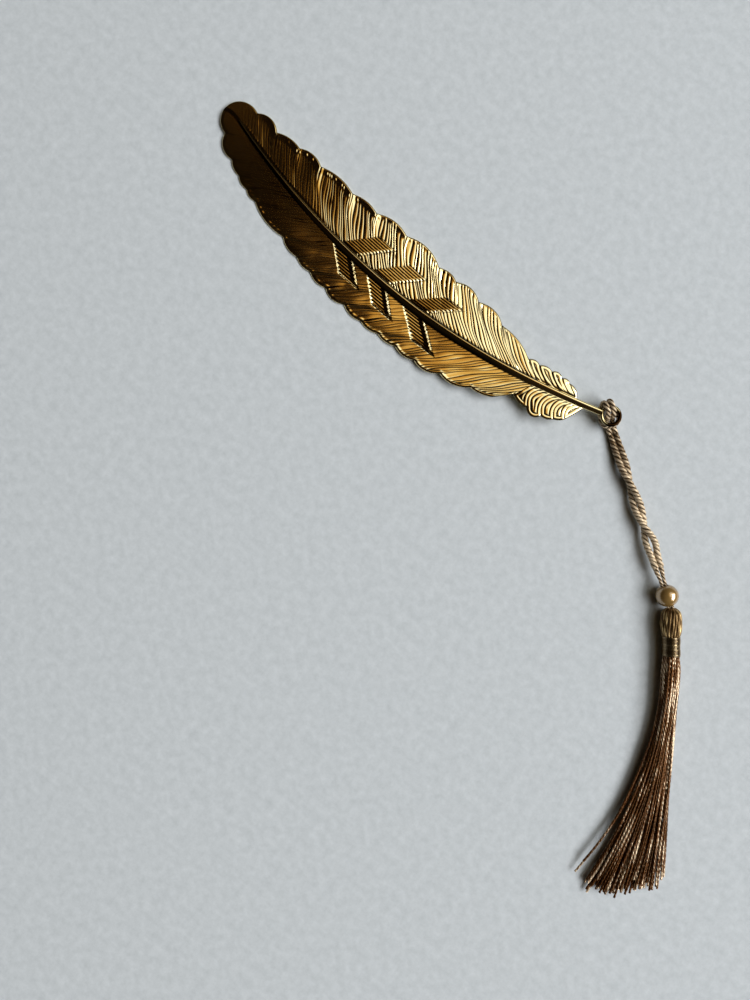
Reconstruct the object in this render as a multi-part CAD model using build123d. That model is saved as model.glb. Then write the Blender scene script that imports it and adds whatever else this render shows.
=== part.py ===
from build123d import *
import os
from math import atan, ceil, cos, pi, radians, sin, sqrt, tan

# A feather bookmark: a stamped metal feather, a cord hitched on its eyelet, a pearl and a tassel.
# Millimetres. +X runs from the feather's tip to its eyelet, +Z up from the page it lies on.
# The origin is on the flat underside, under the middle of the rachis.

# Feather sheet
blade_length = 120.0
blade_width = 25.9
sheet_thickness = 0.5
edge_lift = 0.1
tip_rise = 0.5
tip_rise_run = 18.0
quill_rise_run = 34.0
quill_level_run = 7.0
origin_along_share = 0.5
origin_across_share = -0.39

# Corners of the flat that the blade rests on, as shares of its length and width from its tip
rest_flat_shares = [(0.15, -0.43), (0.15, 0.11), (0.615, -0.03), (0.615, -0.68)]

# Edge lobes as shares of the blade's length and width from its tip: cusp, then crest.
upper_lobe_shares = [
    (0.057, 0.156, 0.083, 0.193),
    (0.111, 0.124, 0.138, 0.156),
    (0.166, 0.137, 0.192, 0.168),
    (0.222, 0.122, 0.260, 0.147),
    (0.305, 0.100, 0.335, 0.125),
    (0.367, 0.091, 0.402, 0.135),
    (0.442, 0.093, 0.480, 0.129),
    (0.531, 0.044, 0.552, 0.069),
    (0.576, 0.033, 0.602, 0.069),
    (0.636, 0.008, 0.662, 0.035),
    (0.701, -0.037, 0.742, -0.056),
    (0.783, -0.143, 0.794, -0.112),
    (0.807, -0.127, 0.823, -0.095),
    (0.834, -0.106, 0.845, -0.077),
    (0.858, -0.100, 0.867, -0.079),
    (0.876, -0.097, 0.888, -0.098),
]
lower_lobe_shares = [
    (0.030, -0.174, 0.042, -0.286),
    (0.072, -0.328, 0.086, -0.386),
    (0.103, -0.407, 0.116, -0.454),
    (0.131, -0.463, 0.143, -0.500),
    (0.159, -0.504, 0.202, -0.595),
    (0.247, -0.608, 0.268, -0.668),
    (0.293, -0.678, 0.311, -0.714),
    (0.332, -0.712, 0.354, -0.755),
    (0.376, -0.743, 0.400, -0.790),
    (0.425, -0.761, 0.449, -0.803),
    (0.472, -0.790, 0.492, -0.809),
    (0.514, -0.786, 0.535, -0.805),
    (0.557, -0.782, 0.581, -0.809),
    (0.604, -0.782, 0.628, -0.803),
    (0.660, -0.737, 0.686, -0.753),
    (0.724, -0.672, 0.761, -0.645),
    (0.802, -0.486, 0.822, -0.515),
    (0.838, -0.510, 0.853, -0.548),
    (0.869, -0.494, 0.882, -0.486),
    (0.892, -0.452, 0.902, -0.429),
    (0.910, -0.394, 0.918, -0.310),
]
upper_quill_join_share = 0.905
lower_quill_join_share = 0.927

# Rachis, the raised rib that ends as the quill
rib_tip_along_share = 0.038
rib_tip_across_share = -0.010
rib_belly_along_share = 0.533
rib_belly_across_share = -0.402
rib_tip_width = 0.7
rib_belly_width = 2.2
rib_quill_width = 1.5
rib_tip_height = 0.15
rib_belly_height = 0.65
rib_quill_height = 0.45
rib_sink = 0.12
rib_station_shares = [0, 0.08, 0.2, 0.35, 0.5, 0.62, 0.72, 0.8, 0.87, 0.93, 1]
rib_belly_share = 0.6

# Chevron bands stamped on the vanes
band_count = 3
band_first_share = 0.346
band_pitch = 10.6
band_width = 4.6
band_height = 0.15
upper_band_slant = 6.6
upper_band_reach = 6.7
lower_band_slant = 4.2
lower_band_reach = 3.7

# Eyelet at the end of the quill
eyelet_outer_radius = 2.6
eyelet_wire = 0.9
eyelet_across_share = -0.108

# Cord and its hitch on the eyelet
cord_diameter = 1.25
cord_gap = 0.15
floor_gap = 0.05
strand_gap = 0.12
cord_angle = -34.9
hitch_rise_radius = 1.55
hitch_lean = 0.65
hitch_leg_radius = 1.6
hitch_exit_run = 0.3

# Free strands, chosen by eye: ahead of the eyelet's centre, to the side, up
left_strand_points = [
    (8.8, -0.76, 0.98),
    (13.0, -0.92, 1.78),
    (17.4, -0.04, 2.72),
    (22.2, 0.86, 2.30),
    (26.8, 0.40, 1.40),
    (31.0, -0.86, 1.66),
    (34.6, -0.685, 2.65),
]
right_strand_points = [
    (8.8, 0.76, 0.84),
    (13.0, 0.84, 0.92),
    (17.4, 0.04, 0.96),
    (22.4, -0.94, 1.60),
    (26.8, -0.46, 2.74),
    (31.2, 1.26, 3.04),
    (34.6, 0.685, 2.65),
]
run_share_in_arc = 0.45

# Pearl bead on the doubled cord
bead_diameter = 5.3
bead_distance = 44.5
bead_travel = 2.5
bead_stop_gap = 0.5
bore_clearance = 0.12
squeezed_cord_diameter = 1.7
gather_length = 1.6
gather_rim = 0.02
gather_gap = 0.2

# Tassel head, folded over the cord's knot
tassel_angle = -52.5
head_diameter = 5.0
head_length = 6.6
head_top_gap = 0.1
mouth_radius = 1.15
shoulder_length = 2.2
shoulder_bulge_along_share = 0.3
shoulder_bulge_radius_share = 0.84
waist_length = 2.0
flute_count = 20
flute_radius = 0.24
cavity_radius = 1.5
cavity_start = 0.95
cavity_length = 3.3
knot_clearance = 0.12

# Neck and its binding
neck_radius = 1.7
neck_length = 4.7
binding_wire = 0.4
binding_pitch = 0.86
binding_turns = 4.5
binding_gap = 0.05
least_winding_gap = 0.4

# Skirt of threads
skirt_hinge_gap = 0.3
skirt_ball_radius = 1.3
skirt_socket_clearance = 0.2
collar_start = 0.6
collar_thickness = 0.4
bundle_radius = 1.9
thread_pitch = 0.44
thread_side = 0.37
thread_stagger_share = 0.618
skirt_length = 56.0
skirt_drift = 10.6
skirt_half_spread = 9.9
skirt_drift_power = 1.7
skirt_spread_power = 2.4
skirt_drop_power = 0.9
skirt_heap = 2.0
thread_floor = 0.1
thread_stations = 6
short_side_share = 0.06
uneven_share = 0.012
stray_drift = 2.9
stray_drift_power = 3.0
stray_side_share = 0.9

# One overrun for every cut
overrun = 1.0

# Sizes that follow from those above
cord_radius = cord_diameter / 2
wire_radius = eyelet_wire / 2
eyelet_mid_radius = eyelet_outer_radius - wire_radius
hitch_radius = wire_radius + cord_radius + cord_gap
low_level = floor_gap + cord_radius
bar_level = low_level + cord_diameter + cord_gap
eyelet_level = bar_level + hitch_radius
top_level = eyelet_level + hitch_radius
strand_side = cord_radius + strand_gap / 2
leg_side = strand_side + cord_diameter + cord_gap
quill_level = eyelet_level - (sheet_thickness + rib_quill_height) / 2
bead_radius = bead_diameter / 2
squeezed_radius = squeezed_cord_diameter / 2
head_radius = head_diameter / 2
axis_level = bead_radius


# The blade's outline and its lift off the page
def blade_point(along_share, across_share):
    along = (along_share - origin_along_share) * blade_length
    across = (across_share - origin_across_share) * blade_width
    return Vector(along, across)


eyelet_centre = blade_point(1, eyelet_across_share) - Vector(eyelet_outer_radius, 0)
tip_point = blade_point(0, 0)
blade_end = eyelet_centre.X - eyelet_mid_radius
quill_level_start = eyelet_centre.X - eyelet_mid_radius - quill_level_run
quill_rise_start = quill_level_start - quill_rise_run


def circle_through(first, second, third):
    turn = 2 * (second - first).cross(third - first).Z
    one = second - first
    two = third - first
    across = (one.dot(one) * two.Y - two.dot(two) * one.Y) / turn
    along = (two.dot(two) * one.X - one.dot(one) * two.X) / turn
    return first + Vector(across, along)


rib_start = blade_point(rib_tip_along_share, rib_tip_across_share)
rib_belly = blade_point(rib_belly_along_share, rib_belly_across_share)
rib_centre = circle_through(rib_start, rib_belly, eyelet_centre)
rib_radius = (rib_centre - rib_belly).length


def rib_point(along):
    return Vector(along, rib_centre.Y - sqrt(rib_radius**2 - (along - rib_centre.X) ** 2))


def rib_side(along):
    return (rib_centre - rib_point(along)).normalized()


def sheet_level(along):
    """Height of the sheet's underside."""
    if along <= tip_point.X + tip_rise_run:
        ahead = (tip_point.X + tip_rise_run - along) / tip_rise_run
        return tip_rise * ahead**2
    if along <= quill_rise_start:
        return 0
    if along >= quill_level_start:
        return quill_level
    turn = 2 * atan(quill_level / quill_rise_run)
    radius = quill_rise_run / (2 * sin(turn))
    ahead = along - quill_rise_start
    if ahead <= quill_rise_run / 2:
        return radius - sqrt(radius**2 - ahead**2)
    left = quill_rise_run - ahead
    return quill_level - radius + sqrt(radius**2 - left**2)


def lifted(along):
    return Vector(along, 0, sheet_level(along))


def sheet_slab():
    """The sheet's profile, pulled sideways past the whole outline, a little off the page."""
    tip_end = tip_point.X + tip_rise_run
    rise_end = quill_level_start
    middle = (quill_rise_start + rise_end) / 2
    level = [
        Edge.make_three_point_arc(
            lifted(tip_point.X), lifted(tip_point.X + tip_rise_run / 2), lifted(tip_end)
        ),
        Edge.make_line(lifted(tip_end), lifted(quill_rise_start)),
        Edge.make_three_point_arc(
            lifted(quill_rise_start), lifted((quill_rise_start + middle) / 2), lifted(middle)
        ),
        Edge.make_three_point_arc(
            lifted(middle), lifted((middle + rise_end) / 2), lifted(rise_end)
        ),
        Edge.make_line(lifted(rise_end), lifted(eyelet_centre.X)),
    ]
    low = Vector(0, 0, edge_lift)
    high = Vector(0, 0, sheet_thickness)
    under = [edge.moved(Location(low)) for edge in level]
    over = [edge.moved(Location(high)) for edge in level]
    ends = [
        Edge.make_line(lifted(tip_point.X) + low, lifted(tip_point.X) + high),
        Edge.make_line(lifted(eyelet_centre.X) + low, lifted(eyelet_centre.X) + high),
    ]
    profile = Face(Wire(under + over + ends))
    return extrude(profile, amount=blade_width, dir=(0, 1, 0), both=True)


def blade_outline():
    """Scalloped edges from the tip to the quill, as arcs from cusp to cusp."""
    half_quill = rib_quill_width / 2
    upper = [blade_point(row[0], row[1]) for row in upper_lobe_shares]
    lower = [blade_point(row[0], row[1]) for row in lower_lobe_shares]
    upper_join = blade_point(upper_quill_join_share, 0).X
    lower_join = blade_point(lower_quill_join_share, 0).X
    upper.append(rib_point(upper_join) + rib_side(upper_join) * half_quill)
    lower.append(rib_point(lower_join) - rib_side(lower_join) * half_quill)
    edges = [Edge.make_three_point_arc(lower[0], tip_point, upper[0])]
    for cusps, rows in ((upper, upper_lobe_shares), (lower, lower_lobe_shares)):
        for start, end, row in zip(cusps, cusps[1:], rows):
            edges.append(Edge.make_three_point_arc(start, blade_point(row[2], row[3]), end))
    upper_end = rib_point(blade_end) + rib_side(blade_end) * half_quill
    lower_end = rib_point(blade_end) - rib_side(blade_end) * half_quill
    edges.append(Edge.make_line(upper[-1], upper_end))
    edges.append(Edge.make_line(upper_end, lower_end))
    edges.append(Edge.make_line(lower_end, lower[-1]))
    return Face(Wire(edges))


def between(share, start, belly, end):
    """A size that swells from the tip to the belly and eases to the quill."""
    if share <= rib_belly_share:
        return start + (belly - start) * sin(pi / 2 * share / rib_belly_share)
    back = (share - rib_belly_share) / (1 - rib_belly_share)
    return belly + (end - belly) * back


def rachis():
    """A low half-round rib lofted along the arc of the feather's shaft."""
    sections = []
    for share in rib_station_shares:
        along = rib_start.X + (blade_end - rib_start.X) * share
        half = between(share, rib_tip_width, rib_belly_width, rib_quill_width) / 2
        tall = rib_sink + between(share, rib_tip_height, rib_belly_height, rib_quill_height)
        side = rib_side(along)
        base = rib_point(along) + Vector(0, 0, sheet_level(along) + sheet_thickness - rib_sink)
        left = base + side * half
        right = base - side * half
        arch = Edge.make_three_point_arc(left, base + Vector(0, 0, tall), right)
        sections.append(Face(Wire([arch, Edge.make_line(right, left)])))
    return loft(sections)


def chevron_band(foot_along, slant, reach):
    """One slanted band standing on the sheet; it starts under the rachis."""
    foot = rib_point(foot_along)
    heel = rib_point(foot_along + band_width)
    offset = Vector(slant, reach)
    corners = Polyline(foot, foot + offset, heel + offset, heel, close=True)
    plate = extrude(make_face(corners), amount=sheet_thickness / 2 + band_height, dir=(0, 0, 1))
    return Pos(0, 0, sheet_thickness / 2) * plate


def rest_flat():
    """The flat on the blade's back; the stamped edges stand a little off the page round it."""
    corners = [blade_point(along, across) for along, across in rest_flat_shares]
    return extrude(make_face(Polyline(corners, close=True)), amount=sheet_thickness / 2, dir=(0, 0, 1))


def feather_blade():
    tall = quill_level + tip_rise + sheet_thickness
    blade = sheet_slab() & extrude(blade_outline(), amount=tall, dir=(0, 0, 1))
    blade += rest_flat()
    blade += rachis()
    for number in range(band_count):
        foot = blade_point(band_first_share, 0).X + number * band_pitch
        blade += chevron_band(foot, upper_band_slant, upper_band_reach)
        blade += chevron_band(foot, lower_band_slant, -lower_band_reach)
    eyelet = Pos(eyelet_centre.X, eyelet_centre.Y, eyelet_level) * Torus(eyelet_mid_radius, wire_radius)
    return blade + eyelet


# Round tubes along straight runs joined by tangent arcs
def turn_at(points, number):
    before = points[number] - points[number - 1]
    after = points[number + 1] - points[number]
    return radians(before.get_angle(after))


def largest_radii(points):
    """Each corner's arc takes most of the shorter of its two runs."""
    radii = []
    for number in range(1, len(points) - 1):
        run = min(
            (points[number] - points[number - 1]).length,
            (points[number + 1] - points[number]).length,
        )
        radii.append(run_share_in_arc * run / tan(turn_at(points, number) / 2))
    return radii


def rounded_route(points, radii):
    edges = []
    place = points[0]
    for number, radius in enumerate(radii, start=1):
        corner = points[number]
        back = (points[number - 1] - corner).normalized()
        ahead = (points[number + 1] - corner).normalized()
        turn = turn_at(points, number)
        reach = radius * tan(turn / 2)
        start = corner + back * reach
        end = corner + ahead * reach
        inward = (back + ahead).normalized()
        middle = corner + inward * (radius / cos(turn / 2) - radius)
        if (start - place).length > floor_gap * run_share_in_arc:
            edges.append(Edge.make_line(place, start))
            place = start
        edges.append(Edge.make_three_point_arc(place, middle, end))
        place = end
    edges.append(Edge.make_line(place, points[-1]))
    return Wire(edges)


def tube(route, diameter):
    section = Plane(origin=route @ 0, z_dir=route % 0) * Circle(diameter / 2)
    return sweep(section, path=route)


def say_tube(name, solid, route, diameter, radii):
    expected = route.length * pi * diameter**2 / 4
    print(name, "length", round(route.length, 2), "volume share", round(solid.volume / expected, 4))
    print(name, "radii", [round(radius, 1) for radius in radii])


# The hitch, in a frame ahead of the eyelet's centre along the cord
cord_frame = Pos(eyelet_centre.X, eyelet_centre.Y, 0) * Rot(0, 0, cord_angle)
hitch_end = eyelet_outer_radius + cord_radius + hitch_exit_run
strand_start = hitch_end + cord_radius + cord_gap


def hitch_points(side):
    """Half of the hitch: in under the ring, up its hole, over its rim and back as a bar."""
    rise = eyelet_mid_radius - hitch_radius
    outside = -eyelet_mid_radius - hitch_radius
    inside = strand_side * side
    outer = leg_side * side
    return [
        Vector(hitch_end, inside, low_level),
        Vector(rise, inside, low_level),
        Vector(rise - 2 * hitch_lean, inside, top_level),
        Vector(outside, inside, top_level),
        Vector(outside, inside, bar_level),
        Vector(-eyelet_mid_radius + hitch_radius, outer, bar_level),
        Vector(eyelet_mid_radius + floor_gap, outer, bar_level),
    ]


def cord_hitch():
    points = hitch_points(1) + hitch_points(-1)[::-1]
    half_radii = [
        hitch_rise_radius,
        hitch_rise_radius,
        hitch_radius,
        hitch_radius,
        hitch_leg_radius,
        leg_side - cord_gap,
    ]
    radii = half_radii + half_radii[::-1]
    route = rounded_route(points, radii)
    solid = tube(route, cord_diameter)
    say_tube("cord_hitch", solid, route, cord_diameter, radii)
    return cord_frame * solid


# The free strands, from ball ends at the hitch to the gathered pair above the bead
gather_start = bead_distance - bead_radius - bead_travel - gather_gap - gather_length
tassel_pivot_ahead = bead_distance + bead_radius + bead_stop_gap


def cord_strand(name, side, middle_points):
    inside = strand_side * side
    points = [Vector(strand_start, inside, low_level)]
    points += [Vector(*point) for point in middle_points]
    points.append(Vector(gather_start, inside, axis_level))
    radii = largest_radii(points)
    route = rounded_route(points, radii)
    solid = tube(route, cord_diameter)
    say_tube(name, solid, route, cord_diameter, radii)
    return cord_frame * (solid + Pos(points[0]) * Sphere(cord_radius))


def cord_gather():
    """Both strands squeezed to one round bundle through the bead, with a ball end."""
    wide = strand_side + cord_radius + gather_rim
    narrow_start = gather_start + gather_length
    profile = Polyline(
        (gather_start, 0),
        (gather_start, wide),
        (narrow_start, squeezed_radius),
        (tassel_pivot_ahead, squeezed_radius),
        (tassel_pivot_ahead, 0),
        close=True,
    )
    bundle = revolve(make_face(profile), axis=Axis.X)
    bundle += Pos(tassel_pivot_ahead, 0, 0) * Sphere(squeezed_radius)
    return cord_frame * Pos(0, 0, axis_level) * bundle


def pearl_bead():
    bore = Rot(0, 90, 0) * Cylinder(squeezed_radius + bore_clearance, bead_diameter + overrun)
    return cord_frame * Pos(bead_distance, 0, axis_level) * (Sphere(bead_radius) - bore)


# The tassel, in a frame whose X runs down its axis from the swing point
swing_point = (cord_frame * Pos(tassel_pivot_ahead, 0, axis_level)).position
tassel_frame = Pos(swing_point) * Rot(0, 0, tassel_angle)
neck_end = head_length + neck_length


def tassel_head():
    """A barrel of folded threads with a flared mouth, a hollow for the knot and flutes."""
    shoulder = head_top_gap + shoulder_length
    waist = head_length - waist_length
    bulge_along = head_top_gap + shoulder_length * shoulder_bulge_along_share
    bulge = (bulge_along, head_radius * shoulder_bulge_radius_share)
    lines = [
        Line((head_top_gap, 0), (head_top_gap, mouth_radius)),
        ThreePointArc((head_top_gap, mouth_radius), bulge, (shoulder, head_radius)),
        Line((shoulder, head_radius), (waist, head_radius)),
        TangentArc((waist, head_radius), (head_length, neck_radius), tangent=(1, 0)),
        Line((head_length, neck_radius), (head_length, 0)),
        Line((head_length, 0), (head_top_gap, 0)),
    ]
    body = revolve(make_face(lines), axis=Axis.X)
    hollow = Polyline(
        (head_top_gap - overrun, 0),
        (head_top_gap - overrun, mouth_radius),
        (head_top_gap, mouth_radius),
        (cavity_start, cavity_radius),
        (cavity_start + cavity_length, cavity_radius),
        (cavity_start + cavity_length, 0),
        close=True,
    )
    body -= revolve(make_face(hollow), axis=Axis.X)
    flute = Rot(0, 90, 0) * Cylinder(flute_radius, head_length + 2 * overrun)
    for number in range(flute_count):
        turned = Rot(360 * number / flute_count, 0, 0)
        body -= turned * Pos(head_length / 2, head_radius + flute_radius / 2, 0) * flute
    return tassel_frame * body


def cord_knot():
    """The cord's stopper knot: two crossed turns in one lump."""
    radius = cavity_radius - knot_clearance
    centre = cavity_start + cavity_length - knot_clearance - radius
    lump = Sphere(radius)
    return tassel_frame * Pos(centre, 0, 0) * lump


def tassel_neck():
    core = Pos(head_length + neck_length / 2, 0, 0) * Rot(0, 90, 0) * Cylinder(neck_radius, neck_length)
    socket = Sphere(skirt_ball_radius + skirt_socket_clearance)
    return tassel_frame * (core - Pos(neck_end + skirt_hinge_gap, 0, 0) * socket)


def helix_frame(turn, radius, start):
    """Point and heading on the winding after so many turns."""
    angle = 2 * pi * turn
    rise = binding_pitch / (2 * pi)
    place = Vector(start + rise * angle, radius * cos(angle), radius * sin(angle))
    heading = Vector(rise, -radius * sin(angle), radius * cos(angle)).normalized()
    return place, heading


def biarc(start, start_heading, end, end_heading):
    """Two tangent arcs from one heading to the other."""
    way = end - start
    both = start_heading + end_heading
    bend = 2 * (1 - start_heading.dot(end_heading))
    along = way.dot(both)
    reach = (sqrt(along**2 + bend * way.dot(way)) - along) / bend
    first = start + start_heading * reach
    second = end - end_heading * reach
    joint = (first + second) / 2
    return [
        Edge.make_tangent_arc(start, start_heading, joint),
        Edge.make_tangent_arc(joint, second - first, end),
    ]


def neck_binding():
    """Thread wound round the neck as one open tube."""
    radius = neck_radius + binding_gap + binding_wire / 2
    wound = binding_turns * binding_pitch
    start = head_length + (neck_length - wound) / 2
    quarters = ceil(4 * binding_turns)
    frames = [helix_frame(binding_turns * step / quarters, radius, start) for step in range(quarters + 1)]
    edges = [Edge.make_line(frames[0][0] - frames[0][1] * binding_wire, frames[0][0])]
    for (place, heading), (next_place, next_heading) in zip(frames, frames[1:]):
        edges += biarc(place, heading, next_place, next_heading)
    edges.append(Edge.make_line(frames[-1][0], frames[-1][0] + frames[-1][1] * binding_wire))
    route = Wire(edges)
    solid = tube(route, binding_wire)
    say_tube("neck_binding", solid, route, binding_wire, [radius])
    print("neck_binding least gap to itself", round(least_self_gap(route), 3), "over", least_winding_gap)
    return tassel_frame * solid


def least_self_gap(route):
    """Least surface gap between points of the winding at least half a turn apart."""
    count = ceil(24 * binding_turns)
    points = [route @ (step / count) for step in range(count + 1)]
    half_turn = ceil(count / binding_turns / 2)
    gaps = []
    for number, point in enumerate(points):
        gaps += [(point - other).length for other in points[number + half_turn :]]
    return min(gaps) - binding_wire


# Skirt threads, in a frame at the skirt's sway point
skirt_frame = tassel_frame * Pos(neck_end + skirt_hinge_gap, 0, 0)


def thread_seats():
    """Places of the threads across the neck, in staggered rows."""
    seats = []
    rows = int(bundle_radius / thread_pitch)
    for row in range(-rows, rows + 1):
        height = row * thread_pitch
        reach = sqrt(bundle_radius**2 - height**2)
        stagger = row * thread_stagger_share % 1
        sides = [(column + stagger) * thread_pitch for column in range(-rows - 1, rows + 1)]
        seats += [(side, height) for side in sides if abs(side) <= reach]
    return seats


def thread_place(side, height, share):
    """Where a thread lies after a share of the skirt's length, and how flat: it drifts, spreads and drops."""
    spread = 1 + (skirt_half_spread / bundle_radius - 1) * share**skirt_spread_power
    across = side * spread - skirt_drift * share**skirt_drift_power
    if side < -stray_side_share * bundle_radius:
        across -= stray_drift * share**stray_drift_power
    heap = thread_floor + (height / bundle_radius + 1) / 2 * skirt_heap - axis_level
    drop = share**skirt_drop_power
    flat = 1 - drop * (1 - skirt_heap / (2 * bundle_radius))
    return across, height + (heap - height) * drop, flat


def square_thread(places):
    """A thread through level sections, pressed flatter as the heap settles."""
    sections = []
    for along, across, height, flat in places:
        plane = Plane(origin=(along, across, height), x_dir=(0, 1, 0), z_dir=(1, 0, 0))
        sections.append(plane * Rectangle(thread_side, thread_side * flat))
    return loft(sections, ruled=True)


def thread_end_share(number, side):
    uneven = uneven_share * cos(number * number)
    return 1 - short_side_share * (side / bundle_radius) ** 2 + uneven


def skirt_collar():
    """A slice of the gathered threads with a ball in front that turns in the neck's socket."""
    radius = bundle_radius + thread_side / 2
    meet = (collar_start, sqrt(skirt_ball_radius**2 - collar_start**2))
    nose = (-skirt_ball_radius * sin(pi / 4), skirt_ball_radius * cos(pi / 4))
    end = collar_start + collar_thickness
    lines = [
        ThreePointArc((-skirt_ball_radius, 0), nose, meet),
        Line(meet, (collar_start, radius)),
        Line((collar_start, radius), (end, radius)),
        Line((end, radius), (end, 0)),
        Line((end, 0), (-skirt_ball_radius, 0)),
    ]
    return revolve(make_face(lines), axis=Axis.X)


def skirt_threads():
    start = collar_start + collar_thickness / 2
    threads = []
    for number, (side, height) in enumerate(thread_seats()):
        end = thread_end_share(number, side)
        places = []
        for step in range(thread_stations):
            share = end * step / (thread_stations - 1)
            places.append((start + skirt_length * share, *thread_place(side, height, share)))
        threads.append(square_thread(places))
    return skirt_frame * skirt_collar().fuse(*threads)


def main():
    os.makedirs("parts", exist_ok=True)
    nodes = {
        "feather_blade": feather_blade(),
        "cord_hitch": cord_hitch(),
        "cord_strand_left": cord_strand("cord_strand_left", -1, left_strand_points),
        "cord_strand_right": cord_strand("cord_strand_right", 1, right_strand_points),
        "cord_gather": cord_gather(),
        "pearl_bead": pearl_bead(),
        "cord_knot": cord_knot(),
        "tassel_head": tassel_head(),
        "tassel_neck": tassel_neck(),
        "neck_binding": neck_binding(),
        "skirt_threads": skirt_threads(),
    }
    for name, shape in nodes.items():
        export_step(shape, f"parts/{name}.step")
    skirt_pivot = skirt_frame.position
    exit_point = (cord_frame * Pos(strand_start, 0, low_level)).position
    print("eyelet centre", eyelet_centre, "level", round(eyelet_level, 3))
    print("exit point", exit_point)
    print("swing point", swing_point)
    print("skirt pivot", skirt_pivot)


main()
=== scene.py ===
import math
import bpy
import numpy as np
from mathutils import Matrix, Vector, kdtree


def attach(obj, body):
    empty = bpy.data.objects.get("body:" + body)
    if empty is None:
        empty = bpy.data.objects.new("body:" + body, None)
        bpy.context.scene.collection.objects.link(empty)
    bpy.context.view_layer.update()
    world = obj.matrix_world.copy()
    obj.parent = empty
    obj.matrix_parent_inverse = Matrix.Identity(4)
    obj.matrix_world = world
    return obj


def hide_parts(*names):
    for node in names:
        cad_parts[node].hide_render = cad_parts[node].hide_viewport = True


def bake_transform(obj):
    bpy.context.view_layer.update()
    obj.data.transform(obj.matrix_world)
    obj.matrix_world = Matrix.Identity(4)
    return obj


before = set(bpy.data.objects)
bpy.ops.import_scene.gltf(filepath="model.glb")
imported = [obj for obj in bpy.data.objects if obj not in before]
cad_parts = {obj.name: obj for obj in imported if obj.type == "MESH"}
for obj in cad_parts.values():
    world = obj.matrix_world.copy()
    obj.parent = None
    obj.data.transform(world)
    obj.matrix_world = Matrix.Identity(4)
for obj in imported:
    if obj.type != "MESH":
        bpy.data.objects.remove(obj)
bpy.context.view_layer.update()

scene = bpy.context.scene
scene.view_settings.view_transform = "Standard"
mm = 0.001
rng = np.random.RandomState(23)
print("frame:", len(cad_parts), "nodes")


# small helpers for colours, nodes and meshes

def linearColour(code):
    parts = [int(code[i:i + 2], 16) / 255 for i in (1, 3, 5)]
    return tuple(c / 12.92 if c <= 0.04045 else ((c + 0.055) / 1.055) ** 2.4 for c in parts) + (1.0,)


def addNode(tree, kind, inputs=None, **settings):
    node = tree.nodes.new("ShaderNode" + kind)
    for name, value in settings.items():
        setattr(node, name, value)
    for socket, value in (inputs or {}).items():
        if isinstance(value, bpy.types.NodeSocket):
            tree.links.new(value, node.inputs[socket])
        else:
            node.inputs[socket].default_value = value
    return node


def addRamp(tree, value, stops):
    ramp = addNode(tree, "ValToRGB", {"Fac": value})
    elements = ramp.color_ramp.elements
    elements[0].position, elements[0].color = stops[0]
    elements[1].position, elements[1].color = stops[-1]
    for position, colour in stops[1:-1]:
        elements.new(position).color = colour
    return ramp.outputs["Color"]


def addNoise(tree, size, detail, roughness=0.5):
    # clumps of about this size in mm
    place = addNode(tree, "TexCoord")
    return addNode(tree, "TexNoise", {"Vector": place.outputs["Object"], "Scale": 1 / (size * mm),
                                      "Detail": detail, "Roughness": roughness}).outputs["Fac"]


def newMaterial(name):
    material = bpy.data.materials.new(name)
    material.use_nodes = True
    material.node_tree.nodes.clear()
    return material, material.node_tree


def finishMaterial(material, tree, surface):
    shader = addNode(tree, "BsdfPrincipled", surface)
    addNode(tree, "OutputMaterial", {"Surface": shader.outputs["BSDF"]})
    return material


def addObject(name, data):
    item = bpy.data.objects.new(name, data)
    scene.collection.objects.link(item)
    return item


def smoothStep(low, high, value):
    t = np.clip((value - low) / (high - low), 0, 1)
    return t * t * (3 - 2 * t)


def quads(*corners):
    return np.stack(corners, axis=-1).reshape(-1, 4).tolist()


def joinParts(parts):
    # several (points, faces, tones) become one
    points, faces, tones, start = [], [], {}, 0
    for part in parts:
        points.append(part[0])
        faces += [[i + start for i in face] for face in part[1]]
        for key, values in part[2].items():
            tones.setdefault(key, []).append(values)
        start += len(part[0])
    return np.concatenate(points), faces, {key: np.concatenate(v) for key, v in tones.items()}


def makePiece(name, part, material, sharp=50):
    points, faces, tones = part
    mesh = bpy.data.meshes.new(name)
    mesh.from_pydata((points * mm).tolist(), [], faces)
    for key, values in tones.items():
        layer = mesh.attributes.new(key, "FLOAT", "POINT")
        layer.data.foreach_set("value", np.asarray(values, dtype=np.float32))
    mesh.shade_smooth()
    mesh.set_sharp_from_angle(angle=math.radians(sharp))
    mesh.materials.append(material)
    piece = addObject(name, mesh)
    return piece


# camera: straight above the page, as the photograph was taken

shot = {"centre": (25.4, -42.2), "height": 180.0, "turn": 37.48, "pxPerMm": 4.17, "longSide": 1000,
        "sensor": 36.0}
camera = bpy.data.cameras.new("camera")
camera.sensor_width = shot["sensor"]
camera.lens = shot["sensor"] * shot["pxPerMm"] * shot["height"] / shot["longSide"]
cameraObject = addObject("camera", camera)
cameraObject.location = (shot["centre"][0] * mm, shot["centre"][1] * mm, shot["height"] * mm)
cameraObject.rotation_euler = (0, 0, math.radians(shot["turn"]))
scene.camera = cameraObject


# materials

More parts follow.
